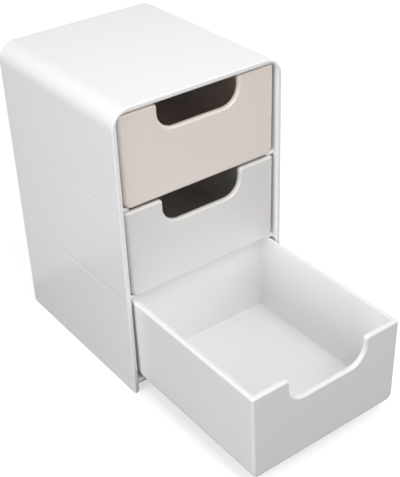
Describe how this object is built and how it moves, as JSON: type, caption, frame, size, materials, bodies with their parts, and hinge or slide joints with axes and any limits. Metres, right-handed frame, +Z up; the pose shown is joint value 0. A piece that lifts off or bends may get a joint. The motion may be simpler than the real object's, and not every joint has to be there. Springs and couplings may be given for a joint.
{
  "type": "desktop drawer organizer",
  "caption": "Small moulded desktop organizer: a tube-like casing on two skirts with loose stacked drawers, each with a finger notch in its front.",
  "frame": {"origin": "on the table, under the centre of the bounding box with the bottom drawer pulled out", "axes": "+Z up, +Y from the drawers' fronts to the back panel, +X to the right seen from the front"},
  "size_m": [0.1, 0.202, 0.164],
  "materials": {
    "casing_plastic": "white moulded polystyrene, smooth, soft gloss",
    "drawer_plastic": "white moulded polystyrene, smooth, soft gloss"
  },
  "bodies": {
    "casing": {"casing": "casing_plastic", "back_panel": "casing_plastic"},
    "top_drawer": {"top_drawer": "drawer_plastic"},
    "middle_drawer": {"middle_drawer": "drawer_plastic"},
    "bottom_drawer": {"bottom_drawer": "drawer_plastic"}
  },
  "joints": [
    {"name": "top_drawer_slide", "type": "slide", "parent": "casing", "child": "top_drawer", "axis": [0, -1, 0], "range_m": [0, 0.096]},
    {"name": "middle_drawer_slide", "type": "slide", "parent": "casing", "child": "middle_drawer", "axis": [0, -1, 0], "range_m": [0, 0.096]},
    {"name": "bottom_drawer_slide", "type": "slide", "parent": "casing", "child": "bottom_drawer", "axis": [0, -1, 0], "range_m": [-0.0946, 0.0014]}
  ]
}
